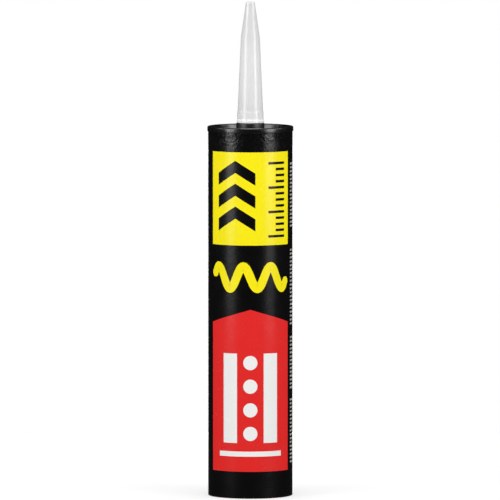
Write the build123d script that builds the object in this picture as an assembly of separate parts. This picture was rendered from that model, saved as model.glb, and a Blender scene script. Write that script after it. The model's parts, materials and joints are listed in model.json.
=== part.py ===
from build123d import *
import math
import os

# Construction adhesive cartridge: a fibre tube with a wrapped label, a tinplate front end
# rolled over the tube's edge, a snap-in nozzle with a closed tip, a foil seal, the adhesive
# and a plunger that slides up the tube.
#
# Millimetres. +Z runs along the tube towards the nozzle, and the origin is the centre of the
# rear edge that the cartridge stands on.

# Wound fibre tube
TUBE_LENGTH = 218.8
TUBE_DIAMETER = 49.64
TUBE_WALL = 1.3

# Label, one turn round the tube with a lap at the back
LABEL_THICKNESS = 0.16
LABEL_LAP = 8.0
LABEL_REAR_MARGIN = 0.1
LABEL_FRONT_GAP = 0.1
GLUE_FILM = 0.02

# Tinplate front end, one pressed sheet. Bend radii are to the middle of the sheet.
SHEET = 0.25
SEAM_HEIGHT = 3.0
SEAM_BEND = 0.55
SEAM_FIT = 0.04
SEAM_HEADROOM = 0.05
HEM_LENGTH = 1.7
HEM_GAP = 0.09
HEM_BEND = 0.15
COUNTERSINK_DEPTH = 4.0
CHUCK_WALL_LEAN = 0.45
GROOVE_WIDTH = 2.8
PANEL_RISE = 1.0
PANEL_SLOPE = 0.6
PANEL_BEND = 0.4
NECK_DIAMETER = 16.6
NECK_RISE = 1.9
NECK_FOOT_BEND = 1.2
NECK_TOP_BEND = 0.35
LIP_WIDTH = 0.6

# Moulded nozzle, from its inner flange up to the closed tip
NOZZLE_FIT = 0.05
NOZZLE_WALL = 1.2
INNER_FLANGE_WIDTH = 3.0
INNER_FLANGE_THICKNESS = 1.4
SHOULDER_SETBACK = 0.25
SHOULDER_HEIGHT = 1.8
COLLAR_STEP = 0.27
COLLAR_HEIGHT = 4.85
CONE_STEP = 0.26
CONE_HEIGHT = 43.8
TIP_BASE_DIAMETER = 11.15
TIP_HEIGHT = 21.05
TIP_DIAMETER = 5.1
TIP_PLUG = 1.6
TIP_EDGE_RADIUS = 0.5
NOZZLE_EDGE_RADIUS = 0.3

# Most of a wall's or a step's width that a rounding may take
ROUNDING_SHARE = 0.45

# Foil disc under the nozzle
FOIL_MARGIN = 1.0
FOIL_THICKNESS = 0.12

# Moulded plunger, a cup that opens to the rear
PLUNGER_RECESS = 20.0
PLUNGER_FIT = 0.06
WIPER_HEIGHT = 2.2
WIPER_TAPER = 1.2
WAIST_RELIEF = 0.6
SKIRT_WALL = 1.3
SOCKET_DEPTH = 14.0
LEDGE_WIDTH = 0.9
RIB_DEPTH = 5.0
RIB_THICKNESS = 1.2
RIB_COUNT = 8
HUB_DIAMETER = 10.0
HUB_WALL = 1.2
FLOOR_THICKNESS = 1.6
CROWN_RISE = 2.4
CROWN_TOP_DIAMETER = 14.0
CROWN_RIM_WIDTH = 4.0
PLUNGER_EDGE_RADIUS = 0.4

# Adhesive, kept clear of the tube's wall and of what moves against it
FILL_WALL_GAP = 0.05
FILL_END_GAP = 0.3

# Tube and label
tube_outer = TUBE_DIAMETER / 2
tube_inner = tube_outer - TUBE_WALL
label_inner = tube_outer + GLUE_FILM
label_outer = label_inner + LABEL_THICKNESS

# Front end: the seam's top edge is the height that the neck and the nozzle are set from
seam_top = TUBE_LENGTH + SEAM_HEADROOM + SHEET
seam_bottom = seam_top - SEAM_HEIGHT
hem_middle = tube_outer + SEAM_FIT + SHEET / 2
skirt_middle = hem_middle + SHEET + HEM_GAP
chuck_middle = tube_inner - SEAM_FIT - SHEET / 2
groove_edge = chuck_middle - CHUCK_WALL_LEAN
groove_top = seam_top - COUNTERSINK_DEPTH
panel_top = groove_top + PANEL_RISE
panel_edge = groove_edge - GROOVE_WIDTH
neck_outer = NECK_DIAMETER / 2
neck_top = seam_top + NECK_RISE

# Nozzle: the neck's turned-in lip sits in a groove between the shank and the shoulder
shank_radius = neck_outer - SHEET - NOZZLE_FIT
lip_radius = shank_radius - LIP_WIDTH
groove_radius = lip_radius - NOZZLE_FIT
inner_flange_radius = shank_radius + INNER_FLANGE_WIDTH
shoulder_radius = neck_outer - SHOULDER_SETBACK
collar_radius = shoulder_radius - COLLAR_STEP
cone_radius = collar_radius - CONE_STEP
foil_radius = inner_flange_radius - FOIL_MARGIN
flange_top = panel_top - SHEET - NOZZLE_FIT
flange_bottom = flange_top - INNER_FLANGE_THICKNESS
shoulder_bottom = neck_top + NOZZLE_FIT
shoulder_top = shoulder_bottom + SHOULDER_HEIGHT
collar_top = shoulder_top + COLLAR_HEIGHT
cone_top = collar_top + CONE_HEIGHT
nozzle_top = cone_top + TIP_HEIGHT
foil_bottom = flange_bottom - FOIL_THICKNESS

# Plunger at rest, and the adhesive between it and the foil
wiper_radius = tube_inner - PLUNGER_FIT
waist_radius = wiper_radius - WAIST_RELIEF
socket_radius = waist_radius - SKIRT_WALL
rib_radius = socket_radius - LEDGE_WIDTH
ledge = PLUNGER_RECESS + SOCKET_DEPTH
floor_rear = ledge + RIB_DEPTH
crown_edge = floor_rear + FLOOR_THICKNESS
crown_top = crown_edge + CROWN_RISE
crown_radius = wiper_radius - CROWN_RIM_WIDTH
fill_top = min(foil_bottom, groove_top - SHEET) - FILL_END_GAP
plunger_travel = fill_top - crown_top


def turned(*corners):
    """Solid of revolution about Z. Each corner is (radius, height, corner rounding)."""
    points = [(radius, height) for radius, height, _ in corners]
    roundings = [rounding for *_, rounding in corners]
    outline = FilletPolyline(*points, radius=roundings, close=True)
    return revolve(Plane.XZ * make_face(outline), Axis.Z)


def pressed(*bends):
    """Sheet of revolution about Z. Each bend is (radius, height, bend radius) on the middle of the sheet."""
    points = [(radius, height) for radius, height, _ in bends]
    roundings = [rounding for *_, rounding in bends[1:-1]]
    middle = FilletPolyline(*points, radius=roundings)
    return revolve(Plane.XZ * trace(middle, SHEET), Axis.Z)


def tube():
    """Plain wound tube, square at the rear and rounded at the front where the seam grips it."""
    edge = min(SEAM_BEND, ROUNDING_SHARE * TUBE_WALL)
    return turned(
        (tube_inner, 0, 0),
        (tube_outer, 0, 0),
        (tube_outer, TUBE_LENGTH, edge),
        (tube_inner, TUBE_LENGTH, edge),
    )


def label():
    """Paper sleeve whose free end laps over its start at the back, on +Y."""
    bottom = LABEL_REAR_MARGIN
    height = seam_bottom - LABEL_FRONT_GAP - bottom
    lap_angle = math.degrees(LABEL_LAP / label_outer)
    sleeve = Cylinder(label_outer, height) - Cylinder(label_inner, height)
    lap_section = make_face(
        Polyline(
            (label_inner, -height / 2),
            (label_outer + LABEL_THICKNESS, -height / 2),
            (label_outer + LABEL_THICKNESS, height / 2),
            (label_inner, height / 2),
            close=True,
        )
    )
    lap = revolve(Plane.XZ * lap_section, Axis.Z, revolution_arc=lap_angle)
    return Pos(Z=bottom + height / 2) * (sleeve + Rot(Z=90 - lap_angle / 2) * lap)


def front_end():
    """Pressed end: neck lip, neck, raised panel, groove, leaning chuck wall, seam over the tube and hem."""
    neck_middle = neck_outer - SHEET / 2
    panel_middle = panel_top - SHEET / 2
    groove_middle = groove_top - SHEET / 2
    seam_middle = seam_top - SHEET / 2
    hem_bottom = seam_bottom + SHEET / 2
    return pressed(
        (lip_radius, neck_top - SHEET / 2, 0),
        (neck_middle, neck_top - SHEET / 2, NECK_TOP_BEND),
        (neck_middle, panel_middle, NECK_FOOT_BEND),
        (panel_edge, panel_middle, PANEL_BEND),
        (panel_edge + PANEL_SLOPE, groove_middle, PANEL_BEND),
        (groove_edge, groove_middle, PANEL_BEND),
        (chuck_middle, seam_middle, SEAM_BEND),
        (skirt_middle, seam_middle, SEAM_BEND),
        (skirt_middle, hem_bottom, HEM_BEND),
        (hem_middle, hem_bottom, HEM_BEND),
        (hem_middle, hem_bottom + HEM_LENGTH, 0),
    )


def nozzle():
    """Hollow two-taper nozzle, closed at the tip, held in the neck by its flange and snap groove."""
    bore_base = collar_radius - NOZZLE_WALL
    bore_cone = cone_radius - NOZZLE_WALL
    bore_tip_base = TIP_BASE_DIAMETER / 2 - NOZZLE_WALL
    bore_tip = TIP_DIAMETER / 2 - NOZZLE_WALL
    edge = NOZZLE_EDGE_RADIUS
    shoulder_edge = min(edge, ROUNDING_SHARE * COLLAR_STEP)
    collar_edge = min(edge, ROUNDING_SHARE * CONE_STEP)
    return turned(
        (bore_base, flange_bottom, 0),
        (inner_flange_radius, flange_bottom, edge),
        (inner_flange_radius, flange_top, edge),
        (shank_radius, flange_top, 0),
        (shank_radius, neck_top - SHEET - NOZZLE_FIT, edge),
        (groove_radius, neck_top - SHEET - NOZZLE_FIT, 0),
        (groove_radius, shoulder_bottom, 0),
        (shoulder_radius, shoulder_bottom, edge),
        (shoulder_radius, shoulder_top, shoulder_edge),
        (collar_radius, shoulder_top, 0),
        (collar_radius, collar_top, collar_edge),
        (cone_radius, collar_top, 0),
        (TIP_BASE_DIAMETER / 2, cone_top, 0),
        (TIP_DIAMETER / 2, nozzle_top, TIP_EDGE_RADIUS),
        (0, nozzle_top, 0),
        (0, nozzle_top - TIP_PLUG, 0),
        (bore_tip, nozzle_top - TIP_PLUG, 0),
        (bore_tip_base, cone_top, 0),
        (bore_cone, collar_top, 0),
        (bore_base, shoulder_bottom, 0),
    )


def foil_seal():
    """Foil disc on the underside of the nozzle's inner flange, pierced through the nozzle in use."""
    return turned(
        (0, foil_bottom, 0),
        (foil_radius, foil_bottom, 0),
        (foil_radius, flange_bottom, 0),
        (0, flange_bottom, 0),
    )


def plunger():
    """Cup with two wiper rings, a stepped socket for a push plate, a ribbed floor and a coned crown."""
    front_wiper = crown_edge - WIPER_HEIGHT
    rear_wiper = PLUNGER_RECESS + WIPER_HEIGHT
    edge = PLUNGER_EDGE_RADIUS
    cup = turned(
        (socket_radius, PLUNGER_RECESS, 0),
        (wiper_radius, PLUNGER_RECESS, edge),
        (wiper_radius, rear_wiper, 0),
        (waist_radius, rear_wiper + WIPER_TAPER, 0),
        (waist_radius, front_wiper - WIPER_TAPER, 0),
        (wiper_radius, front_wiper, 0),
        (wiper_radius, crown_edge, edge),
        (crown_radius, crown_edge, 0),
        (CROWN_TOP_DIAMETER / 2, crown_top, 0),
        (0, crown_top, 0),
        (0, floor_rear, 0),
        (rib_radius, floor_rear, edge),
        (rib_radius, ledge, 0),
        (socket_radius, ledge, 0),
    )
    hub = Cylinder(HUB_DIAMETER / 2, RIB_DEPTH) - Cylinder(HUB_DIAMETER / 2 - HUB_WALL, RIB_DEPTH)
    rib_length = rib_radius - HUB_DIAMETER / 2 + HUB_WALL
    rib = Pos(X=rib_radius - rib_length / 2 + edge) * Box(rib_length, RIB_THICKNESS, RIB_DEPTH)
    ribs = [Rot(Z=turn * 360 / RIB_COUNT) * rib for turn in range(RIB_COUNT)]
    return cup + Pos(Z=ledge + RIB_DEPTH / 2) * (hub + ribs)


def adhesive():
    """Paste column from the plunger's crown to the foil, shaped to both."""
    radius = tube_inner - FILL_WALL_GAP
    return turned(
        (0, crown_top + FILL_END_GAP, 0),
        (CROWN_TOP_DIAMETER / 2, crown_top + FILL_END_GAP, 0),
        (crown_radius, crown_edge + FILL_END_GAP, 0),
        (radius, crown_edge + FILL_END_GAP, 0),
        (radius, fill_top, 0),
        (0, fill_top, 0),
    )


PIECES = {
    "tube": tube,
    "label": label,
    "front_end": front_end,
    "nozzle": nozzle,
    "foil_seal": foil_seal,
    "plunger": plunger,
    "adhesive": adhesive,
}

os.makedirs("parts", exist_ok=True)
for name, make in PIECES.items():
    solid = make()
    solid.label = name
    export_step(solid, f"parts/{name}.step")
    print(name, round(solid.volume / 1000, 2), "ml")
print("height", round(nozzle_top, 2), "seam top", round(seam_top, 2), "travel", round(plunger_travel, 2))
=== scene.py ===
import json
import math

import bmesh
import bpy
import numpy as np
from bpy.props import FloatProperty, FloatVectorProperty, IntProperty, PointerProperty
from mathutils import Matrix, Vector


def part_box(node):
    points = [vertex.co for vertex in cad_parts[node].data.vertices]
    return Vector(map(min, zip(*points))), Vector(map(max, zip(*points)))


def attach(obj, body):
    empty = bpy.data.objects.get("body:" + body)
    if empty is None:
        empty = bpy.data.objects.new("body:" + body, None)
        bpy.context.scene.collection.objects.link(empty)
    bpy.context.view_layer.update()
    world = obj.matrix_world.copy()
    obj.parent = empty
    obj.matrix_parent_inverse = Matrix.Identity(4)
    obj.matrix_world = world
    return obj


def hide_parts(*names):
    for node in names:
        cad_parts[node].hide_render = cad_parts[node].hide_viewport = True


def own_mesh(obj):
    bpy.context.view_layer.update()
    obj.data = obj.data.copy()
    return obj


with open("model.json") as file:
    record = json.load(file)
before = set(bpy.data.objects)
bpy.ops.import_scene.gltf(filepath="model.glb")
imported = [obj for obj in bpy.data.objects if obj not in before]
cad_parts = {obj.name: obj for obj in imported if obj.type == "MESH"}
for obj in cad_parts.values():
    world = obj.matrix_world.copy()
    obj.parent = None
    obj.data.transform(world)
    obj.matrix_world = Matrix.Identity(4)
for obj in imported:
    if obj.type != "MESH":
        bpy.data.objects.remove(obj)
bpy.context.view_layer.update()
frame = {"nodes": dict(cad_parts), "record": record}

bl_info = {
    "name": "Adhesive cartridge",
    "version": (1, 0, 0),
    "blender": (4, 5, 0),
    "location": "View3D > Sidebar > Cartridge",
    "description": "Dresses a packed adhesive cartridge with its surfaces, print and studio",
    "category": "Add Mesh",
}

MM = 0.001
# Points of a line closer than the first are one, and points of a mesh closer than the second are welded
SAME_POINT = 1e-9
WELD = 1e-7

_, tube_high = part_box("tube")
label_low, label_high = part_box("label")
end_low, end_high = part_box("front_end")
nozzle_low, nozzle_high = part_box("nozzle")
paste_low, paste_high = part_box("adhesive")
mounts = {mount["name"]: mount for mount in frame["record"]["mounts"]}
neck_radius = mounts["nozzle_neck"]["dims"]["r_mm"] * MM


# Colours and settings

def linear(code):
    """Linear red, green and blue of an sRGB hex code."""
    value = np.array([int(code[start:start + 2], 16) for start in (1, 3, 5)]) / 255
    return tuple(np.where(value <= 0.04045, value / 12.92, ((value + 0.055) / 1.055) ** 2.4))


def size_setting(name, description, default):
    """A length in metres that a user may change."""
    return FloatProperty(name=name, description=description, default=default, unit="LENGTH", precision=6)


def angle_setting(name, description, degrees):
    """An angle that a user may change, given in degrees."""
    return FloatProperty(name=name, description=description, default=math.radians(degrees), subtype="ANGLE")


def power_setting(name, description, watts):
    """The power of a light that a user may change."""
    return FloatProperty(name=name, description=description, default=watts, unit="POWER")


def share_setting(name, description, default):
    """A number from 0 to 1 that a user may change."""
    return FloatProperty(name=name, description=description, default=default, min=0, max=1, precision=4,
                         subtype="FACTOR")


def colour_setting(name, description, code):
    """A colour that a user may change, given as an sRGB hex code."""
    return FloatVectorProperty(name=name, description=description, default=linear(code), size=3,
                               subtype="COLOR", min=0, max=1)


class TubeSettings(bpy.types.PropertyGroup):
    """Spiral-wound fibre tube."""

    radius: size_setting("Radius", "Outside of the tube", tube_high.x)
    length: size_setting("Length", "Tube from its rear edge to its front edge", tube_high.z)
    wall: size_setting("Wall", "Thickness of the wound plies", 1.3 * MM)
    edge: size_setting("Front edge", "Rounding of the front edge under the seam", 0.55 * MM)
    pitch: size_setting("Liner pitch", "Rise of the liner's butt joint in one turn", 118 * MM)
    joint_width: size_setting("Joint width", "Width of the liner's butt joint", 1.1 * MM)
    joint_depth: size_setting("Joint depth", "Depth of the liner's butt joint", 0.12 * MM)
    kraft: colour_setting("Kraft", "Colour of the board", "#A98A63")
    liner: colour_setting("Liner", "Colour of the foil-faced liner", "#B9BABC")
    liner_satin: share_setting("Liner satin", "Roughness of the liner", 0.45)
    liner_bare: share_setting("Liner metal", "How far the liner's metal shows through its film", 0.4)


class LabelSettings(bpy.types.PropertyGroup):
    """Paper label wrapped once round the tube."""

    radius: size_setting("Radius", "Outside of the label", label_high.x)
    low: size_setting("Rear edge", "Height of the label's rear edge", label_low.z)
    high: size_setting("Front edge", "Height of the label's front edge", label_high.z + 0.08 * MM)
    paper: size_setting("Paper", "Thickness of the paper", label_high.y - label_high.x)
    lap: size_setting("Lap", "Width of the lap at the back", 8 * MM)
    lap_ramp: size_setting("Lap ramp", "Length over which the free end climbs on to the lap", 1.6 * MM)
    wave: size_setting("Waves", "Height of the paper's slow waves", 0.05 * MM)
    ground: colour_setting("Ground", "Black ground of the print", "#09090A")


class PrintSettings(bpy.types.PropertyGroup):
    """Printed fields, placed round the label from its front and up its height."""

    half_width: size_setting("Half width", "Half the width of the coloured fields", 27 * MM)
    panel_low: size_setting("Panel foot", "Lower edge of the yellow panel", 150 * MM)
    panel_high: size_setting("Panel top", "Upper edge of the yellow panel", 205 * MM)
    field_low: size_setting("Field foot", "Lower edge of the red field", 16 * MM)
    field_high: size_setting("Field shoulder", "Upper edge of the red field at its sides", 104 * MM)
    field_peak: size_setting("Field peak", "Rise of the red field's upper edge to its middle", 8 * MM)
    bead_height: size_setting("Bead", "Height of the printed bead's middle line", 131 * MM)
    ink: size_setting("Ink", "Height of one layer of ink", 0.02 * MM)
    yellow: colour_setting("Yellow", "Yellow ink", "#F8E908")
    red: colour_setting("Red", "Red ink", "#E42624")
    white: colour_setting("White", "White ink", "#F1F1EF")
    grey: colour_setting("Grey", "Pale grey of the fine rules", "#B0B0AE")


class FrontEndSettings(bpy.types.PropertyGroup):
    """Pressed and lacquered tinplate front end."""

    sheet: size_setting("Sheet", "Thickness of the tinplate", 0.25 * MM)
    seam_top: size_setting("Seam top", "Height of the seam's top edge", tube_high.z + 0.3 * MM)
    seam_height: size_setting("Seam height", "Depth of the seam's skirt", 3 * MM)
    seam_bend: size_setting("Seam bend", "Bend radius at the seam's top", 0.55 * MM)
    hem_length: size_setting("Hem", "Length of the turned-in hem", 1.7 * MM)
    hem_bend: size_setting("Hem bend", "Bend radius of the hem", 0.15 * MM)
    fold_gap: size_setting("Hem gap", "Gap between the skirt and its hem", 0.09 * MM)
    fit: size_setting("Fit", "Gap between the sheet and the tube's wall", 0.04 * MM)
    chuck_lean: size_setting("Chuck wall lean", "How far the chuck wall leans in at its foot", 0.45 * MM)
    groove: size_setting("Groove", "Width of the countersink groove", 2.8 * MM)
    panel_rise: size_setting("Panel rise", "Rise of the panel out of the groove", 1 * MM)
    panel_slope: size_setting("Panel slope", "Run of the panel's sloped edge", 0.6 * MM)
    panel_bend: size_setting("Panel bend", "Bend radius at the groove and the panel", 0.4 * MM)
    neck_foot: size_setting("Neck foot", "Bend radius where the neck leaves the panel", 1.2 * MM)
    neck_bend: size_setting("Neck bend", "Bend radius at the neck's top", 0.35 * MM)
    lip: size_setting("Lip", "Reach of the turned-in lip from the neck's inside", 0.65 * MM)
    lacquer: colour_setting("Lacquer", "Black stoving lacquer", "#0B0B0C")


class NozzleSettings(bpy.types.PropertyGroup):
    """Moulded nozzle with a closed tip."""

    wall: size_setting("Wall", "Thickness of the wall", 1.2 * MM)
    flange: size_setting("Flange", "Thickness of the inner flange", 1.4 * MM)
    shank: size_setting("Shank", "Radius of the shank in the neck", neck_radius - 0.3 * MM)
    groove: size_setting("Groove", "Radius of the snap groove", neck_radius - 0.95 * MM)
    shoulder: size_setting("Shoulder", "Radius of the shoulder on the neck", neck_radius - 0.25 * MM)
    shoulder_height: size_setting("Shoulder height", "Height of the shoulder", 1.8 * MM)
    collar: size_setting("Collar", "Radius of the collar", neck_radius - 0.52 * MM)
    collar_height: size_setting("Collar height", "Height of the collar", 4.85 * MM)
    cone: size_setting("Cone", "Radius of the cone's foot", neck_radius - 0.78 * MM)
    cone_height: size_setting("Cone height", "Height of the long cone", 43.8 * MM)
    tip_base: size_setting("Tip foot", "Radius where the steeper tip starts", 5.575 * MM)
    tip: size_setting("Tip", "Radius of the closed end", 2.55 * MM)
    plug: size_setting("Plug", "Thickness of the closed end", 1.6 * MM)
    tip_edge: size_setting("Tip edge", "Rounding of the closed end", 0.5 * MM)
    tip_fade: size_setting("Tip fade", "How far below the tip's foot the thin tone starts", 12 * MM)
    collar_fade: size_setting("Collar fade", "How far below the shoulder the collar's tone ends", 4.5 * MM)
    shoulder_fade: size_setting("Shoulder fade", "Height over which the shoulder's tone starts", 0.8 * MM)
    edge: size_setting("Edges", "Rounding of the flange and the shank", 0.3 * MM)
    step_edge: size_setting("Step edges", "Rounding of the small steps", 0.07 * MM)
    fit: size_setting("Fit", "Gap between the nozzle and the sheet", 0.05 * MM)
    plastic: colour_setting("Plastic", "Natural polyethylene", "#DDDEDD")
    # Painted light: the collar and the shoulder are painted this whiter colour, standing in for the light
    # that the front end keeps off the nozzle's foot and for the top light on the shoulder
    painted_light_tone: colour_setting("Painted light on the foot", "Natural polyethylene where the foot is thick", "#F6F6F5")
    thin: colour_setting("Thin plastic", "Natural polyethylene where light passes the tip", "#C8C9C8")
    bleed: share_setting("Bleed", "How far light bleeds into the plastic", 0.5)
    satin: share_setting("Satin", "Roughness of the plastic", 0.25)
    tip_satin: share_setting("Tip satin", "Roughness of the tip, which the mould polished", 0.1)


class FillSettings(bpy.types.PropertyGroup):
    """What is inside the tube."""

    crown: size_setting("Crown", "Radius of the flat on the plunger's crown", 7 * MM)
    crown_edge: size_setting("Crown edge", "Radius where the crown's cone starts", 19.46 * MM)
    crown_rise: size_setting("Crown rise", "Rise of the crown", 2.4 * MM)
    kept: share_setting("Kept", "Share of the paste's length left at full travel", 0.004)
    paste: colour_setting("Paste", "Tan adhesive", "#BFA27C")
    plastic: colour_setting("Plunger", "Natural polyethylene of the plunger", "#E0DED6")
    bleed: share_setting("Plunger bleed", "How far light bleeds into the plunger", 0.25)
    satin: share_setting("Plunger satin", "Roughness of the plunger", 0.38)
    foil: colour_setting("Foil", "Bright foil", "#D3D4D6")
    foil_satin: share_setting("Foil satin", "Roughness of the foil", 0.3)


class StageSettings(bpy.types.PropertyGroup):
    """Camera, lights and floor."""

    aim: size_setting("Aim", "Height that the camera looks at", 145.5 * MM)
    aside: size_setting("Aside", "How far right of the axis the camera looks", -0.2 * MM)
    distance: size_setting("Distance", "Camera's distance", 5.6)
    elevation: angle_setting("Elevation", "Camera's height above the horizon", 4.4)
    lens: FloatProperty(name="Lens", description="Focal length in millimetres", default=681, unit="CAMERA")
    box_side: angle_setting("Softbox side", "Softbox's angle from the camera", 55)
    box_distance: size_setting("Softbox distance", "Softbox's distance from the axis", 0.95)
    box_width: size_setting("Softbox width", "Width of a softbox", 0.38)
    box_low: size_setting("Softbox foot", "Height of a softbox's lower edge", 0.13)
    box_high: size_setting("Softbox top", "Height of a softbox's upper edge", 0.75)
    box_power: power_setting("Softbox power", "Power of one softbox", 4.9)
    wing_side: angle_setting("Wing side", "Angle from the camera of the wing beside a softbox", 82)
    wing_width: size_setting("Wing width", "Width of a wing", 0.53)
    wing_low: size_setting("Wing foot", "Height of a wing's lower edge", 0.47)
    wing_high: size_setting("Wing top", "Height of a wing's upper edge", 0.8)
    wing_power: power_setting("Wing power", "Power of one wing", 3)
    back_distance: size_setting("Back light", "Distance of the low light straight behind", 0.4)
    back_width: size_setting("Back light width", "Width of the low light straight behind", 0.16)
    back_high: size_setting("Back light top", "Height of that light's upper edge, below the seam", 0.18)
    back_power: power_setting("Back light power", "Power of the low light straight behind", 0.5)
    top_height: size_setting("Top light", "Height of the light overhead", 1.2)
    top_forward: size_setting("Top light forward", "How far the top light hangs in front", 0.05)
    top_width: size_setting("Top light width", "Width of the top light", 0.52)
    top_depth: size_setting("Top light depth", "Depth of the top light", 0.7)
    top_power: power_setting("Top light power", "Power of the top light", 8.4)
    under_depth: size_setting("Under light", "Depth of the light below the open rear", 0.8)
    under_size: size_setting("Under light size", "Side of the light below the open rear", 0.25)
    under_power: power_setting("Under light power", "Power of the light below the open rear", 4)
    sky: share_setting("Sky", "Strength of the even light from above", 0.66)
    sky_below: share_setting("Sky below", "Strength of the even light from below", 0.36)
    floor: size_setting("Floor radius", "Radius of the floor, which ends in front of the back light", 0.39)
    floor_level: size_setting("Floor level", "Height of the floor, just clear of the rear edge", -0.02 * MM)
    floor_glow: share_setting("Floor glow", "Light that whitens the floor in view", 0.555)
    floor_tint: colour_setting("Floor", "Pale floor", "#9C9C9C")
    drape: size_setting("Drape radius", "Radius of the dark drapes round the set", 1.6)
    drape_inner: size_setting("Drape hole", "Radius of the hole in the drapes on the floor", 26 * MM)
    drape_high: size_setting("Drape top", "Height of the drapes' upper edge", 1.3)
    drape_tint: colour_setting("Drapes", "Dark cloth of the drapes", "#1C1C1C")


class CartridgeSettings(bpy.types.PropertyGroup):
    """All settings of the cartridge and its studio."""

    tube: PointerProperty(type=TubeSettings)
    label: PointerProperty(type=LabelSettings)
    ink: PointerProperty(type=PrintSettings)
    front_end: PointerProperty(type=FrontEndSettings)
    nozzle: PointerProperty(type=NozzleSettings)
    fill: PointerProperty(type=FillSettings)
    stage: PointerProperty(type=StageSettings)
    segments: IntProperty(name="Segments", description="Facets round a turned piece", default=256, min=32)


# Surfaces

def unit(vectors):
    """Vectors divided by their lengths, and zero where they have none."""
    lengths = np.linalg.norm(vectors, axis=-1, keepdims=True)
    return vectors / np.where(lengths == 0, 1, lengths)


def corner_frames(corners):
    """Point, bend, direction before and after, and turn to the left, at each corner of an open line."""
    corners = np.array(corners, float)
    points, bends = corners[:, :2], corners[:, 2]
    before = unit(points - np.roll(points, 1, axis=0))
    after = np.roll(before, -1, axis=0)
    before[0] = after[0]
    after[-1] = before[-1]
    cross = before[:, 0] * after[:, 1] - before[:, 1] * after[:, 0]
    return points, bends, before, after, np.arctan2(cross, np.sum(before * after, axis=1))


def rounded_line(corners, steps=9):
    """Points of a line whose corners (x, y, bend) are rounded.

    A corner that turns by an angle has an arc of its bend radius, which starts bend times the tangent of
    half the turn before the corner. The arc's points are its first spoke turned evenly about its centre.
    """
    points, bends, before, _, turns = corner_frames(corners)
    starts = points - before * (bends * np.tan(np.abs(turns) / 2))[:, None]
    left = np.stack([-before[:, 1], before[:, 0]], axis=1)
    spokes = -left * (np.sign(turns) * bends)[:, None]
    angles = turns[:, None] * np.linspace(0, 1, steps)
    cosine, sine = np.cos(angles), np.sin(angles)
    x = cosine * spokes[:, :1] - sine * spokes[:, 1:]
    y = sine * spokes[:, :1] + cosine * spokes[:, 1:]
    line = ((starts - spokes)[:, None, :] + np.stack([x, y], axis=2)).reshape(-1, 2)
    moved = np.linalg.norm(np.diff(line, axis=0), axis=1) > SAME_POINT
    return line[np.append(True, moved)]


def sheet_outline(corners, thickness):
    """Closed outline of a bent sheet, from the corners (x, y, bend) of the line down its middle.

    Each skin lies half a thickness from the middle: its corners move along the bisector by that distance
    over the cosine of half the turn, and its bends shrink on the inside and grow on the outside.
    """
    points, bends, before, after, turns = corner_frames(corners)
    bisector = unit(before + after)
    left = np.stack([-bisector[:, 1], bisector[:, 0]], axis=1)
    shift = left * (thickness / 2 / np.cos(turns / 2))[:, None]
    change = np.where(bends > 0, np.sign(turns) * thickness / 2, 0)
    left_skin = rounded_line(np.column_stack([points + shift, bends - change]))
    right_skin = rounded_line(np.column_stack([points - shift, bends + change]))
    return np.concatenate([left_skin, right_skin[::-1]])


def grid_faces(rows, columns, row_loop=False, column_loop=False):
    """Quads of a grid: each point, its neighbour across, the one above that and the one above itself."""
    row = np.arange(rows if row_loop else rows - 1)[:, None]
    column = np.arange(columns if column_loop else columns - 1)[None, :]
    here = row * columns
    above = (row + 1) % rows * columns
    across = (column + 1) % columns
    corners = (here + column, here + across, above + across, above + column)
    return np.stack(np.broadcast_arrays(*corners), axis=-1).reshape(-1, 4)


def turned(outline, segments, closed):
    """Surface of revolution: each outline point (radius, height) carried round Z in even steps.

    The outline runs up the outside, so that faces point outwards. A closed one is a ring's section. An open
    one starts or ends on the axis where the surface has a pole.
    """
    angles = np.linspace(0, 2 * np.pi, segments, endpoint=False)
    radius, height = outline[:, :1], outline[:, 1:]
    x, y = radius * np.cos(angles), radius * np.sin(angles)
    points = np.stack(np.broadcast_arrays(x, y, height), axis=-1).reshape(-1, 3)
    return points, grid_faces(len(outline), segments, row_loop=closed, column_loop=True)


def slab(top, bottom):
    """Closed thin sheet between two like grids of points: both skins, and a strip of quads round the edge."""
    rows, columns = top.shape[:2]
    count = rows * columns
    index = np.arange(count).reshape(rows, columns)
    edge = np.concatenate([index[0, :-1], index[:-1, -1], index[-1, :0:-1], index[:0:-1, 0]])
    after = np.roll(edge, -1)
    skin = grid_faces(rows, columns)
    strip = np.stack([edge, edge + count, after + count, after], axis=1)
    points = np.concatenate([top.reshape(-1, 3), bottom.reshape(-1, 3)])
    return points, np.concatenate([skin, skin[:, ::-1] + count, strip])


def joined(parts):
    """Several (points, faces) parts as one."""
    counts = [len(points) for points, _ in parts]
    offsets = np.cumsum([0] + counts[:-1])
    faces = [part_faces + offset for (_, part_faces), offset in zip(parts, offsets)]
    return np.concatenate([points for points, _ in parts]), np.concatenate(faces)


def add_object(name, surface, materials, face_materials=None, smooth_angle=32):
    """Puts a surface into a mesh object at the origin, with its seams and poles welded."""
    points, faces = surface
    mesh = bpy.data.meshes.new(name)
    mesh.vertices.add(len(points))
    mesh.vertices.foreach_set("co", points.astype(np.float32).ravel())
    mesh.loops.add(faces.size)
    mesh.loops.foreach_set("vertex_index", faces.astype(np.int32).ravel())
    mesh.polygons.add(len(faces))
    mesh.polygons.foreach_set("loop_start", np.arange(0, faces.size, 4, dtype=np.int32))
    for material in materials:
        mesh.materials.append(material)
    if face_materials is not None:
        mesh.polygons.foreach_set("material_index", face_materials.astype(np.int32))
    mesh.update(calc_edges=True)
    welded = bmesh.new()
    welded.from_mesh(mesh)
    bmesh.ops.remove_doubles(welded, verts=welded.verts, dist=WELD)
    welded.to_mesh(mesh)
    welded.free()
    if mesh.validate():
        raise RuntimeError(f"{name} has faulty faces")
    mesh.shade_smooth()
    mesh.set_sharp_from_angle(angle=math.radians(smooth_angle))
    piece = bpy.data.objects.new(name, mesh)
    bpy.context.scene.collection.objects.link(piece)
    return piece


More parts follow.
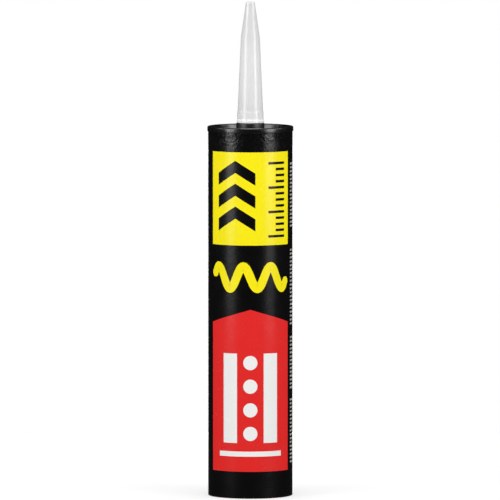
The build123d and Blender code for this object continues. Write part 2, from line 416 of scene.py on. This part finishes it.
def add_piece(name, surface, materials, body, face_materials=None):
    """Adds a piece of the cartridge that rides on a body, with the materials it is given in its slots."""
    piece = add_object(name, surface, materials, face_materials)
    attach(piece, body)
    return piece


# Paper and print

def paper_rise(label, around, height):
    """How far the paper stands off the tube: two slow crossing waves, fuller towards the front edge."""
    long_turn, long_rise, long_phase = 23 * MM, 61 * MM, 0.7
    short_turn, short_rise, short_phase = 13 * MM, 37 * MM, 2.1
    calm_height, fading = 150 * MM, 60 * MM
    first = np.sin(2 * np.pi * (around / long_turn + height / long_rise) + long_phase)
    second = np.sin(2 * np.pi * (around / short_turn - height / short_rise) + short_phase)
    share = np.clip((height - calm_height) / fading, 0, 1)
    return label.wave * (0.35 + 0.65 * share) * (2 + 1.2 * first + 0.8 * second) / 4


def on_paper(label, around, height, lift):
    """Points on the label: around is the arc from the front, and the radius is the paper's plus a lift."""
    angle = around / label.radius
    radius = label.radius + paper_rise(label, around, height) + lift
    return np.stack([radius * np.sin(angle), -radius * np.cos(angle), height], axis=-1)


def wrapped_paper(label, step=1.5 * MM):
    """The label as one sheet: a turn and a lap long, whose free end climbs one paper over its start."""
    half_turn = math.pi * label.radius
    reach = half_turn + label.lap / 2
    around = np.linspace(-reach, reach, 2 + round(2 * half_turn / step))
    height = np.linspace(label.low, label.high, 2 + round((label.high - label.low) / step))
    around, height = np.meshgrid(around, height)
    climb = np.clip((around - half_turn + label.lap / 2 + label.lap_ramp) / label.lap_ramp, 0, 1)
    lift = label.paper * climb ** 2 * (3 - 2 * climb)
    top = on_paper(label, around, height, lift)
    return slab(top, on_paper(label, around, height, lift - label.paper))


def between(across, low, high, step=1 * MM):
    """Grid of (u, z) between two edges: low and high are their heights at each u in across."""
    rows = 2 + int(np.max(high - low) / step)
    share = np.linspace(0, 1, rows)[:, None]
    height = low + (high - low) * share
    return np.broadcast_to(across, height.shape), height


def rectangle(left, right, low, high, step=1 * MM):
    """Grid of (u, z) over an upright rectangle."""
    across = np.linspace(left, right, 2 + int((right - left) / step))
    return between(across, np.full_like(across, low), np.full_like(across, high), step)


def chevron(middle, apex, half_width, slope, weight):
    """Grid of (u, z) of a roof: both edges fall by the slope times the distance from the middle."""
    across = np.linspace(-half_width, half_width, 2 * int(half_width / MM) + 1)
    top = apex - slope * np.abs(across)
    return between(middle + across, top - weight, top)


def dot(middle, height, radius):
    """Grid of (u, z) of a disc: over half a turn, u is the cosine and the edges are the sine up and down."""
    turn = np.linspace(np.pi, 0, 33)
    reach = radius * np.sin(turn)
    return between(middle + radius * np.cos(turn), height - reach, height + reach)


def bead(left, right, height, swing, waves, half_weight):
    """Grid of (u, z) of a stroke along a sine wave.

    Each point lies across the wave, within a weight that rounds off to nothing at both ends.
    """
    along = np.linspace(0, 1, 48 * waves)
    phase = 2 * np.pi * waves * along
    path = np.stack([left + (right - left) * along, height + swing * np.sin(phase)], axis=1)
    direction = unit(np.gradient(path, axis=0))
    normal = np.stack([-direction[:, 1], direction[:, 0]], axis=1)
    length = np.append(0, np.cumsum(np.linalg.norm(np.diff(path, axis=0), axis=1)))
    from_end = np.clip(np.minimum(length, length[-1] - length) / half_weight, 0, 1)
    weight = half_weight * np.sqrt(1 - (1 - from_end) ** 2)
    share = np.linspace(-1, 1, 9)[:, None, None]
    grid = path + share * normal * weight[:, None]
    return grid[..., 0], grid[..., 1]


def inked(label, shapes, lift):
    """Printed shapes as thin closed patches that reach from just under the paper to the ink's lift."""
    under = -0.5 * lift
    return joined([slab(on_paper(label, u, z, lift), on_paper(label, u, z, under)) for u, z in shapes])


def panel_motifs():
    """Black motifs on the yellow panel: three chevrons, and a column of ticks, each fourth one longer."""
    middle, half_width, slope, weight = -9 * MM, 12 * MM, 0.62, 7.2 * MM
    chevrons = [chevron(middle, apex * MM, half_width, slope, weight) for apex in (200, 186.5, 173)]
    right, foot, pitch, thickness = 23, 154.5, 3.6, 1.5
    ticks = []
    for number in range(13):
        reach = 12 if number % 4 == 0 else 7
        low = (foot + pitch * number) * MM
        ticks.append(rectangle((right - reach) * MM, right * MM, low, low + thickness * MM))
    return chevrons + ticks


def field_motifs():
    """White motifs on the red field: two boards, the dots of paste between them and a ground line."""
    board_width, board_low, board_high = 9, 33 * MM, 86 * MM
    boards = [rectangle(left * MM, (left + board_width) * MM, board_low, board_high) for left in (-17, 8)]
    first_dot, dot_pitch, dot_radius = 38.5, 14, 4.2 * MM
    dots = [dot(0, (first_dot + dot_pitch * number) * MM, dot_radius) for number in range(4)]
    ground = rectangle(left=-20 * MM, right=20 * MM, low=25 * MM, high=28 * MM)
    return boards + dots + [ground]


def fine_rules():
    """Pale rules on the right side, set like small print: rows of runs of uneven length, in four blocks."""
    random = np.random.default_rng(7)
    left, right, gap = 30.4 * MM, 52 * MM, 0.9 * MM
    shortest, longest, pitch, thickness = 2, 7, 2.3, 1.1 * MM
    rules = []
    for low, high in ((20, 57), (64, 94), (102, 146), (160, 197)):
        for foot in np.arange(low, high, pitch) * MM:
            start = left
            while start < right:
                run = random.uniform(shortest, longest) * MM
                rules.append(rectangle(start, start + run, foot, foot + thickness, step=1.2 * MM))
                start += run + gap
    return rules


# Materials

def add_node(tree, kind, settings=None, links=None):
    """Adds one node: settings set its options or its inputs' values, and links feed its inputs."""
    node = tree.nodes.new(kind)
    for key, value in (settings or {}).items():
        if isinstance(key, str) and hasattr(node, key):
            setattr(node, key, value)
        else:
            node.inputs[key].default_value = value
    for key, socket in (links or {}).items():
        tree.links.new(socket, node.inputs[key])
    return node


def new_material(name, surface):
    """A material, its node tree and its Principled shader, whose constant values are set on its sockets."""
    material = bpy.data.materials.new(name)
    material.use_nodes = True
    tree = material.node_tree
    shader = tree.nodes["Principled BSDF"]
    for key, value in surface.items():
        shader.inputs[key].default_value = value
    return material, tree, shader


def per_metre(millimetres):
    """Noise scale whose features are about as large as a real size."""
    return 1 / (millimetres * MM)


def coated_paper(name, colour):
    """Coated paper, offset printed and varnished."""
    # The varnish shows the softboxes as soft streaks, and the paper's small crinkles break them up.
    # They are strongest near the front edge, where the seam was rolled over the wrapped tube.
    # The varnish sank into the paper in part, so it mirrors a little less than its IOR gives.
    calm_height, crinkled_height = 198 * MM, label_high.z - 4 * MM
    material, tree, shader = new_material(name, {"IOR": 1.45, "Specular IOR Level": 0.4})
    place = add_node(tree, "ShaderNodeTexCoord").outputs["Object"]
    crinkle = add_node(tree, "ShaderNodeTexNoise", {"Scale": per_metre(2.4), "Detail": 3},
                       {"Vector": place})
    height = add_node(tree, "ShaderNodeSeparateXYZ", links={"Vector": place}).outputs["Z"]
    stretch = {"From Min": calm_height, "From Max": crinkled_height, "To Min": 0.1, "To Max": 1}
    share = add_node(tree, "ShaderNodeMapRange", stretch, {"Value": height})
    relief = add_node(tree, "ShaderNodeMath", {"operation": "MULTIPLY"},
                      {0: crinkle.outputs[0], 1: share.outputs[0]})
    bump = add_node(tree, "ShaderNodeBump", {"Strength": 1, "Distance": 0.28 * MM},
                    {"Height": relief.outputs[0]})
    tree.links.new(bump.outputs[0], shader.inputs["Normal"])
    gloss = add_node(tree, "ShaderNodeTexNoise", {"Scale": per_metre(9), "Detail": 2}, {"Vector": place})
    even = add_node(tree, "ShaderNodeMapRange", {"To Min": 0.2, "To Max": 0.32},
                    {"Value": gloss.outputs[0]})
    spots = add_node(tree, "ShaderNodeTexNoise", {"Scale": per_metre(1.9), "Detail": 1},
                     {"Vector": place})
    rub = {"From Min": 0.36, "From Max": 0.64, "To Min": -0.07, "To Max": 0.05}
    rubbed = add_node(tree, "ShaderNodeMapRange", rub, {"Value": spots.outputs[0]})
    roughness = add_node(tree, "ShaderNodeMath", {"operation": "MULTIPLY_ADD"},
                         {0: rubbed.outputs[0], 1: share.outputs[0], 2: even.outputs[0]})
    tree.links.new(roughness.outputs[0], shader.inputs["Roughness"])
    # Offset ink lies a little unevenly on the fibres, which are drawn coarser than they are so that they show
    fibre = add_node(tree, "ShaderNodeTexNoise", {"Scale": per_metre(0.8), "Detail": 2},
                     {"Vector": place})
    ink = add_node(tree, "ShaderNodeMix",
                   {"data_type": "RGBA", 6: (*(0.94 * part for part in colour), 1), 7: (*colour, 1)},
                   {0: fibre.outputs[0]})
    tree.links.new(ink.outputs[2], shader.inputs["Base Color"])
    return material


def lacquered_tinplate(colour, drawn):
    """Tinplate, pressed and stove lacquered black, duller from the first to the second of the drawn radii."""
    # Lacquer is smoother than the paper, so the seam's bends carry thin bright lines with some orange peel.
    # Drawing the neck stretched it, so lights are spread out there.
    material, tree, shader = new_material("lacquered_tinplate", {"IOR": 1.58, "Base Color": (*colour, 1)})
    place = add_node(tree, "ShaderNodeTexCoord").outputs["Object"]
    peel = add_node(tree, "ShaderNodeTexNoise", {"Scale": per_metre(1.8), "Detail": 2}, {"Vector": place})
    bump = add_node(tree, "ShaderNodeBump", {"Strength": 1, "Distance": 0.05 * MM},
                    {"Height": peel.outputs[0]})
    tree.links.new(bump.outputs[0], shader.inputs["Normal"])
    rub = add_node(tree, "ShaderNodeTexNoise", {"Scale": per_metre(5), "Detail": 3}, {"Vector": place})
    even = add_node(tree, "ShaderNodeMapRange", {"To Min": 0.16, "To Max": 0.34},
                    {"Value": rub.outputs[0]})
    flat = add_node(tree, "ShaderNodeVectorMath", {"operation": "MULTIPLY", 1: (1, 1, 0)}, {0: place})
    radius = add_node(tree, "ShaderNodeVectorMath", {"operation": "LENGTH"}, {0: flat.outputs[0]})
    share = add_node(tree, "ShaderNodeMapRange", {"From Min": drawn[0], "From Max": drawn[1]},
                     {"Value": radius.outputs["Value"]})
    roughness = add_node(tree, "ShaderNodeMix", {"data_type": "FLOAT", 3: 0.45},
                         {0: share.outputs[0], 2: even.outputs[0]})
    tree.links.new(roughness.outputs[0], shader.inputs["Roughness"])
    return material


def natural_polyethylene(name, colour, bleed, satin, tones=()):
    """Natural polyethylene, injection moulded: milky, with a waxy satin surface.

    Each tone (from height, to height, colour, roughness) blends both in over a stretch of heights.
    """
    # Light bleeds into the wall, so it looks softly even, and the mould leaves faint flow streaks along Z.
    # Thin walls look greyer. A tone can also be painted whiter as painted light, standing in for light that a
    # part should catch.
    depth = {"Subsurface Weight": bleed, "Subsurface Radius": (1, 1, 0.95), "Subsurface Scale": 1.6 * MM}
    material, tree, shader = new_material(name, {"IOR": 1.51, **depth})
    place = add_node(tree, "ShaderNodeTexCoord").outputs["Object"]
    drawn = add_node(tree, "ShaderNodeMapping", {"Scale": (1, 1, 0.08)}, {"Vector": place})
    flow = add_node(tree, "ShaderNodeTexNoise", {"Scale": per_metre(2.2), "Detail": 2},
                    {"Vector": drawn.outputs[0]})
    tint = add_node(tree, "ShaderNodeMix",
                    {"data_type": "RGBA", 6: (*(0.93 * part for part in colour), 1), 7: (*colour, 1)},
                    {0: flow.outputs[0]})
    height = add_node(tree, "ShaderNodeSeparateXYZ", links={"Vector": place}).outputs["Z"]
    roughness = add_node(tree, "ShaderNodeMapRange", {"To Min": satin - 0.05, "To Max": satin + 0.07},
                         {"Value": flow.outputs[0]})
    for start, end, tone, shine in tones:
        share = add_node(tree, "ShaderNodeMapRange", {"From Min": start, "From Max": end},
                         {"Value": height})
        tint = add_node(tree, "ShaderNodeMix", {"data_type": "RGBA", 7: (*tone, 1)},
                        {0: share.outputs[0], 6: tint.outputs[2]})
        roughness = add_node(tree, "ShaderNodeMix", {"data_type": "FLOAT", 3: shine},
                             {0: share.outputs[0], 2: roughness.outputs[0]})
    tree.links.new(tint.outputs[2], shader.inputs["Base Color"])
    tree.links.new(roughness.outputs[0], shader.inputs["Roughness"])
    # The mould's fine grain is drawn coarser than it is so that it shows
    grain = add_node(tree, "ShaderNodeTexNoise", {"Scale": per_metre(0.7), "Detail": 2},
                     {"Vector": place})
    bump = add_node(tree, "ShaderNodeBump", {"Strength": 1, "Distance": 0.008 * MM},
                    {"Height": grain.outputs[0]})
    tree.links.new(bump.outputs[0], shader.inputs["Normal"])
    return material


def kraft_board(colour):
    """Kraft board, spiral wound and cut."""
    # Loose fibres scatter the light, so it is matt brown, and clumps of them show as darker flecks.
    material, tree, shader = new_material("kraft_board", {"IOR": 1.5, "Specular IOR Level": 0.25,
                                                          "Roughness": 0.85})
    place = add_node(tree, "ShaderNodeTexCoord").outputs["Object"]
    fibre = add_node(tree, "ShaderNodeTexNoise", {"Scale": per_metre(0.9), "Detail": 4},
                     {"Vector": place})
    tint = add_node(tree, "ShaderNodeMix",
                    {"data_type": "RGBA", 6: (*(0.72 * part for part in colour), 1), 7: (*colour, 1)},
                    {0: fibre.outputs[0]})
    tree.links.new(tint.outputs[2], shader.inputs["Base Color"])
    bump = add_node(tree, "ShaderNodeBump", {"Strength": 1, "Distance": 0.05 * MM},
                    {"Height": fibre.outputs[0]})
    tree.links.new(bump.outputs[0], shader.inputs["Normal"])
    return material


def rolled_foil(name, colour, satin, bare=1):
    """Aluminium foil, rolled: bare is how far its metal shows through a plastic film."""
    # It is bright with fine lines from the rolls, which are drawn coarser than they are so that they show.
    material, tree, shader = new_material(name, {"Metallic": bare, "Base Color": (*colour, 1)})
    place = add_node(tree, "ShaderNodeTexCoord").outputs["Object"]
    drawn = add_node(tree, "ShaderNodeMapping", {"Scale": (1, 1, 0.05)}, {"Vector": place})
    lines = add_node(tree, "ShaderNodeTexNoise", {"Scale": per_metre(0.6), "Detail": 2},
                     {"Vector": drawn.outputs[0]})
    roughness = add_node(tree, "ShaderNodeMapRange", {"To Min": satin - 0.08, "To Max": satin + 0.1},
                         {"Value": lines.outputs[0]})
    tree.links.new(roughness.outputs[0], shader.inputs["Roughness"])
    bump = add_node(tree, "ShaderNodeBump", {"Strength": 1, "Distance": 0.01 * MM},
                    {"Height": lines.outputs[0]})
    tree.links.new(bump.outputs[0], shader.inputs["Normal"])
    return material


def adhesive_paste(colour):
    """Polyurethane paste, filled and pressed in."""
    # Its filler makes it dense and half glossy, and it shows the smears of being pressed in.
    material, tree, shader = new_material("adhesive_paste", {"IOR": 1.5, "Roughness": 0.4})
    place = add_node(tree, "ShaderNodeTexCoord").outputs["Object"]
    smear = add_node(tree, "ShaderNodeTexNoise", {"Scale": per_metre(6), "Detail": 3}, {"Vector": place})
    tint = add_node(tree, "ShaderNodeMix",
                    {"data_type": "RGBA", 6: (*(0.85 * part for part in colour), 1), 7: (*colour, 1)},
                    {0: smear.outputs[0]})
    tree.links.new(tint.outputs[2], shader.inputs["Base Color"])
    bump = add_node(tree, "ShaderNodeBump", {"Strength": 1, "Distance": 0.2 * MM},
                    {"Height": smear.outputs[0]})
    tree.links.new(bump.outputs[0], shader.inputs["Normal"])
    return material


# Operators

class WindTube(bpy.types.Operator):
    """Winds the fibre tube, with the liner's butt joint running round its inside."""

    bl_idname = "cartridge.wind_tube"
    bl_label = "Wind tube"

    def execute(self, context):
        settings = context.scene.cartridge
        tube = settings.tube
        # Columns climb with the liner, so the joint is one straight column of the grid
        rows = 110
        inner = tube.radius - tube.wall
        rise = np.linspace(0, tube.length - tube.edge, rows)
        outside = np.column_stack([np.full(rows, tube.radius), rise])
        inside = np.column_stack([np.full(rows, inner), rise[::-1]])
        front = rounded_line([(tube.radius, rise[-1], 0), (tube.radius, tube.length, tube.edge),
                              (inner, tube.length, tube.edge), (inner, rise[-1], 0)])
        outline = np.concatenate([outside, front[1:-1], inside])
        angle = np.linspace(-np.pi, np.pi, settings.segments, endpoint=False)
        joint = np.exp(-((angle * inner / (tube.joint_width / 2)) ** 4))
        is_inside = np.arange(len(outline)) >= len(outline) - rows
        radius = outline[:, :1] + tube.joint_depth * joint * is_inside[:, None]
        turn = angle + 2 * np.pi * outline[:, 1:] / tube.pitch
        height = np.broadcast_to(outline[:, 1:], turn.shape)
        points = np.stack([radius * np.cos(turn), radius * np.sin(turn), height], axis=-1).reshape(-1, 3)
        faces = grid_faces(len(outline), settings.segments, row_loop=True, column_loop=True)
        lined = np.repeat(is_inside & (np.arange(len(outline)) < len(outline) - 1), settings.segments)
        liner = rolled_foil("foil_faced_liner", tube.liner, tube.liner_satin, tube.liner_bare)
        materials = [kraft_board(tube.kraft), liner]
        piece = add_piece("wound_tube", (points, faces), materials, "cartridge", lined)
        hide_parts("tube")
        return {"FINISHED"}


class WrapLabel(bpy.types.Operator):
    """Wraps the black paper label round the tube, with its lap at the back."""

    bl_idname = "cartridge.wrap_label"
    bl_label = "Wrap label"

    def execute(self, context):
        label = context.scene.cartridge.label
        paper = coated_paper("coated_paper_black", label.ground)
        piece = add_piece("paper_label", wrapped_paper(label), [paper], "cartridge")
        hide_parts("label")
        return {"FINISHED"}


class PrintLabel(bpy.types.Operator):
    """Prints the coloured fields, their motifs and the fine rules on the label."""

    bl_idname = "cartridge.print_label"
    bl_label = "Print label"

    def execute(self, context):
        label = context.scene.cartridge.label
        ink = context.scene.cartridge.ink
        across = np.linspace(-ink.half_width, ink.half_width, 1 + 2 * int(ink.half_width / MM))
        peaked = ink.field_high + ink.field_peak * (1 - np.abs(across) / ink.half_width)
        red_field = between(across, np.full_like(across, ink.field_low), peaked)
        yellow_panel = rectangle(-ink.half_width, ink.half_width, ink.panel_low, ink.panel_high)
        yellow_bead = bead(left=-25 * MM, right=25 * MM, height=ink.bead_height, swing=6.5 * MM, waves=3,
                           half_weight=2.6 * MM)
        # The second layer is printed over the first
        layers = (
            ("print_yellow", [yellow_panel, yellow_bead], 1, coated_paper("coated_paper_yellow", ink.yellow)),
            ("print_red", [red_field], 1, coated_paper("coated_paper_red", ink.red)),
            ("print_grey", fine_rules(), 1, coated_paper("coated_paper_grey", ink.grey)),
            ("print_black", panel_motifs(), 2, bpy.data.materials["coated_paper_black"]),
            ("print_white", field_motifs(), 2, coated_paper("coated_paper_white", ink.white)),
        )
        for name, shapes, layer, material in layers:
            surface = inked(label, shapes, layer * ink.ink)
            add_piece(name, surface, [material], "cartridge")
        return {"FINISHED"}


class PressFrontEnd(bpy.types.Operator):
    """Presses the tinplate front end: lip, neck, panel, groove, seam and hem in one sheet."""

    bl_idname = "cartridge.press_front_end"
    bl_label = "Press front end"

    def execute(self, context):
        settings = context.scene.cartridge
        end = settings.front_end
        tube = settings.tube
        half = end.sheet / 2
        neck = neck_radius - half
        lip_height = end_high.z - half
        groove_height = end_low.z + half
        panel_height = groove_height + end.panel_rise
        seam_height = end.seam_top - half
        hem_foot = end.seam_top - end.seam_height + half
        hem = tube.radius + end.fit + half
        skirt = hem + end.sheet + end.fold_gap
        chuck = tube.radius - tube.wall - end.fit - half
        groove_edge = chuck - end.chuck_lean
        panel_edge = groove_edge - end.groove
        middle = [
            (neck_radius - end.sheet - end.lip, lip_height, 0),
            (neck, lip_height, end.neck_bend),
            (neck, panel_height, end.neck_foot),
            (panel_edge, panel_height, end.panel_bend),
            (panel_edge + end.panel_slope, groove_height, end.panel_bend),
            (groove_edge, groove_height, end.panel_bend),
            (chuck, seam_height, end.seam_bend),
            (skirt, seam_height, end.seam_bend),
            (skirt, hem_foot, end.hem_bend),
            (hem, hem_foot, end.hem_bend),
            (hem, hem_foot + end.hem_length, 0),
        ]
        # The middle line runs outwards, so its outline is turned round to run up the outside
        outline = sheet_outline(middle, end.sheet)[::-1]
        surface = turned(outline, settings.segments, closed=True)
        tinplate = lacquered_tinplate(end.lacquer, (neck_radius + end.neck_foot, neck_radius))
        piece = add_piece("pressed_front_end", surface, [tinplate], "cartridge")
        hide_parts("front_end")
        return {"FINISHED"}


class MouldNozzle(bpy.types.Operator):
    """Moulds the hollow nozzle, from its inner flange to its closed tip."""

    bl_idname = "cartridge.mould_nozzle"
    bl_label = "Mould nozzle"

    def execute(self, context):
        settings = context.scene.cartridge
        nozzle = settings.nozzle
        top = nozzle_high.z
        flange_low = nozzle_low.z
        flange_high = flange_low + nozzle.flange
        shoulder_low = end_high.z + nozzle.fit
        snap_low = end_high.z - settings.front_end.sheet - nozzle.fit
        shoulder_high = shoulder_low + nozzle.shoulder_height
        collar_high = shoulder_high + nozzle.collar_height
        cone_high = collar_high + nozzle.cone_height
        outline = rounded_line([
            (0, top - nozzle.plug, 0),
            (nozzle.tip - nozzle.wall, top - nozzle.plug, 0),
            (nozzle.tip_base - nozzle.wall, cone_high, 0),
            (nozzle.cone - nozzle.wall, collar_high, 0),
            (nozzle.collar - nozzle.wall, shoulder_low, 0),
            (nozzle.collar - nozzle.wall, flange_low, 0),
            (nozzle_high.x, flange_low, nozzle.edge),
            (nozzle_high.x, flange_high, nozzle.edge),
            (nozzle.shank, flange_high, 0),
            (nozzle.shank, snap_low, nozzle.edge),
            (nozzle.groove, snap_low, 0),
            (nozzle.groove, shoulder_low, 0),
            (nozzle.shoulder, shoulder_low, nozzle.edge),
            (nozzle.shoulder, shoulder_high, nozzle.step_edge),
            (nozzle.collar, shoulder_high, 0),
            (nozzle.collar, collar_high, nozzle.step_edge),
            (nozzle.cone, collar_high, 0),
            (nozzle.tip_base, cone_high, 0),
            (nozzle.tip, top, nozzle.tip_edge),
            (0, top, 0),
        ])
        surface = turned(outline, settings.segments, closed=False)
        # The first tone greys the tip. The other two are painted light: they paint the collar and the
        # shoulder whiter, standing in for the light that the front end keeps off the foot and for the top
        # light on the shoulder
        tones = ((cone_high - nozzle.tip_fade, top, nozzle.thin, nozzle.tip_satin),
                 (collar_high, shoulder_high - nozzle.collar_fade, nozzle.painted_light_tone, nozzle.satin),
                 (shoulder_high + nozzle.shoulder_fade, shoulder_high, nozzle.painted_light_tone, nozzle.satin))
        plastic = natural_polyethylene("nozzle_polyethylene_moulded", nozzle.plastic, nozzle.bleed,
                                       nozzle.satin, tones)
        piece = add_piece("moulded_nozzle", surface, [plastic], "cartridge")
        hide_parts("nozzle")
        return {"FINISHED"}


class FillCartridge(bpy.types.Operator):
    """Fills the tube with paste, and finishes the plunger and the foil seal."""

    bl_idname = "cartridge.fill"
    bl_label = "Fill cartridge"

    def execute(self, context):
        settings = context.scene.cartridge
        fill = settings.fill
        rear = paste_low.z
        outline = np.array([
            (0, rear + fill.crown_rise),
            (fill.crown, rear + fill.crown_rise),
            (fill.crown_edge, rear),
            (paste_high.x, rear),
            (paste_high.x, paste_high.z),
            (0, paste_high.z),
        ])
        surface = turned(outline, settings.segments, closed=False)
        paste = adhesive_paste(fill.paste)
        piece = add_piece("paste_column", surface, [paste], "cartridge")
        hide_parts("adhesive")
        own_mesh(piece)
        finishes = {
            "plunger": natural_polyethylene("plunger_polyethylene_moulded", fill.plastic, fill.bleed,
                                            fill.satin),
            "foil_seal": rolled_foil("lidding_foil", fill.foil, fill.foil_satin),
        }
        for node, material in finishes.items():
            mesh = frame["nodes"][node].data
            mesh.materials.clear()
            mesh.materials.append(material)
        return {"FINISHED"}


class SetStage(bpy.types.Operator):
    """Sets the pale floor, the dark drapes, the even sky, the lights and the camera."""

    bl_idname = "cartridge.set_stage"
    bl_label = "Set stage"

    def execute(self, context):
        stage = context.scene.cartridge.stage
        self.lay_floor(stage)
        self.hang_drapes(stage)
        self.light_sky(context, stage)
        box_heights = (stage.box_low, stage.box_high)
        wing_heights = (stage.wing_low, stage.wing_high)
        for side, sign in (("left", -1), ("right", 1)):
            self.hang_beside(context, f"softbox_{side}", sign * stage.box_side, stage.box_distance,
                             box_heights, stage.box_width, stage.box_power)
            # Wings show only in gloss, where they widen the streaks on faces that lean back
            wing = self.hang_beside(context, f"wing_{side}", sign * stage.wing_side, stage.box_distance,
                                    wing_heights, stage.wing_width, stage.wing_power)
            wing.visible_diffuse = False
        self.hang_beside(context, "back_light", math.pi, stage.back_distance, (0, stage.back_high),
                         stage.back_width, stage.back_power)
        top_place = (0, -stage.top_forward, stage.top_height)
        self.hang_softbox(context, "top_light", top_place, (0, 0, tube_high.z),
                          (stage.top_width, stage.top_depth), stage.top_power)
        self.hang_softbox(context, "under_light", (0, 0, -stage.under_depth), (0, 0, 0),
                          (stage.under_size, stage.under_size), stage.under_power)
        self.place_camera(context, stage)
        context.scene.view_settings.view_transform = "Standard"
        return {"FINISHED"}

    def seen_directly(self, tree):
        """1 where the camera sees a surface, also in a reflection or through something clear."""
        path = add_node(tree, "ShaderNodeLightPath")
        first = add_node(tree, "ShaderNodeMath", {"operation": "MAXIMUM"},
                         {0: path.outputs["Is Camera Ray"], 1: path.outputs["Is Glossy Ray"]})
        return add_node(tree, "ShaderNodeMath", {"operation": "MAXIMUM"},
                        {0: first.outputs[0], 1: path.outputs["Is Transmission Ray"]}).outputs[0]

    def lay_floor(self, stage):
        """A round floor that takes the shadow, and is clear from below so that the rear can be seen."""
        material = bpy.data.materials.new("pale_floor")
        material.use_nodes = True
        tree = material.node_tree
        tree.nodes.clear()
        matt = add_node(tree, "ShaderNodeBsdfDiffuse", {"Color": (*stage.floor_tint, 1)})
        strength = add_node(tree, "ShaderNodeMath", {"operation": "MULTIPLY", 1: stage.floor_glow},
                            {0: self.seen_directly(tree)})
        glow = add_node(tree, "ShaderNodeEmission", links={"Strength": strength.outputs[0]})
        lit = add_node(tree, "ShaderNodeAddShader", links={0: matt.outputs[0], 1: glow.outputs[0]})
        clear = add_node(tree, "ShaderNodeBsdfTransparent")
        side = add_node(tree, "ShaderNodeNewGeometry").outputs["Backfacing"]
        both = add_node(tree, "ShaderNodeMixShader",
                        links={0: side, 1: lit.outputs[0], 2: clear.outputs[0]})
        add_node(tree, "ShaderNodeOutputMaterial", links={"Surface": both.outputs[0]})
        outline = np.array([(stage.floor, stage.floor_level), (0, stage.floor_level)])
        floor = add_object("floor", turned(outline, segments=128, closed=False), [material])
        floor.visible_diffuse = False
        floor.visible_shadow = False

    def hang_drapes(self, stage):
        """Dark drapes round, over and under the set. Only gloss sees them, so black pieces stay black."""
        cloth, _, _ = new_material("dark_cloth", {"Base Color": (*stage.drape_tint, 1), "Roughness": 1,
                                                  "Specular IOR Level": 0})
        outline = np.array([(0, stage.drape_high), (stage.drape, stage.drape_high), (stage.drape, 0),
                            (stage.drape_inner, 0)])
        drapes = add_object("drapes", turned(outline, segments=96, closed=False), [cloth])
        drapes.visible_camera = False
        drapes.visible_diffuse = False
        drapes.visible_transmission = False
        drapes.visible_shadow = False

    def light_sky(self, context, stage):
        """An even sky, white where it is seen and weaker as a light, most of all from below."""
        world = bpy.data.worlds.new("even_sky")
        world.use_nodes = True
        tree = world.node_tree
        direction = add_node(tree, "ShaderNodeTexCoord").outputs["Object"]
        rise = add_node(tree, "ShaderNodeSeparateXYZ", links={"Vector": direction}).outputs["Z"]
        light = add_node(tree, "ShaderNodeMapRange",
                         {"From Min": -1, "From Max": 1, "To Min": stage.sky_below, "To Max": stage.sky},
                         {"Value": rise})
        strength = add_node(tree, "ShaderNodeMapRange", {"To Max": 1},
                            {"Value": self.seen_directly(tree), "To Min": light.outputs[0]})
        tree.nodes["Background"].inputs["Color"].default_value = (1, 1, 1, 1)
        tree.links.new(strength.outputs[0], tree.nodes["Background"].inputs["Strength"])
        context.scene.world = world

    def hang_beside(self, context, name, angle, distance, heights, width, power):
        """A softbox between two heights, at an angle from the camera and a distance from the axis."""
        low, high = heights
        middle = (low + high) / 2
        place = (math.sin(angle) * distance, -math.cos(angle) * distance, middle)
        return self.hang_softbox(context, name, place, (0, 0, middle), (width, high - low), power)

    def hang_softbox(self, context, name, place, target, size, power):
        """A softbox of a width and a height at a place, facing a target."""
        light = bpy.data.lights.new(name, "AREA")
        light.shape = "RECTANGLE"
        light.size, light.size_y = size
        light.energy = power
        softbox = bpy.data.objects.new(name, light)
        softbox.location = place
        softbox.rotation_euler = (Vector(target) - Vector(place)).to_track_quat("-Z", "Y").to_euler()
        softbox.visible_camera = False
        context.scene.collection.objects.link(softbox)
        return softbox

    def place_camera(self, context, stage):
        """A long lens a little above the horizon, in front of the label."""
        data = bpy.data.cameras.new("camera")
        data.lens = stage.lens
        camera = bpy.data.objects.new("camera", data)
        back = Vector((0, -math.cos(stage.elevation), math.sin(stage.elevation)))
        camera.location = Vector((stage.aside, 0, stage.aim)) + back * stage.distance
        camera.rotation_euler = (-back).to_track_quat("-Z", "Y").to_euler()
        context.scene.collection.objects.link(camera)
        context.scene.camera = camera


class CartridgePanel(bpy.types.Panel):
    """Lists the cartridge's steps in the sidebar."""

    bl_idname = "VIEW3D_PT_cartridge"
    bl_label = "Adhesive cartridge"
    bl_space_type = "VIEW_3D"
    bl_region_type = "UI"
    bl_category = "Cartridge"

    def draw(self, context):
        self.layout.prop(context.scene.cartridge, "segments")
        for step in STEPS:
            self.layout.operator(step.bl_idname)


STEPS = (WindTube, WrapLabel, PrintLabel, PressFrontEnd, MouldNozzle, FillCartridge, SetStage)
SETTINGS = (TubeSettings, LabelSettings, PrintSettings, FrontEndSettings, NozzleSettings, FillSettings,
            StageSettings, CartridgeSettings)


def register():
    """Adds the classes, and the settings to the scene."""
    for one in (*SETTINGS, *STEPS, CartridgePanel):
        bpy.utils.register_class(one)
    bpy.types.Scene.cartridge = PointerProperty(type=CartridgeSettings)


def unregister():
    """Takes the settings and the classes out again."""
    del bpy.types.Scene.cartridge
    for one in reversed((*SETTINGS, *STEPS, CartridgePanel)):
        bpy.utils.unregister_class(one)


def main():
    register()
    bpy.ops.cartridge.wind_tube()
    bpy.ops.cartridge.wrap_label()
    bpy.ops.cartridge.print_label()
    bpy.ops.cartridge.press_front_end()
    bpy.ops.cartridge.mould_nozzle()
    bpy.ops.cartridge.fill()
    bpy.ops.cartridge.set_stage()
    bpy.context.view_layer.update()


if __name__ == "__main__":
    main()
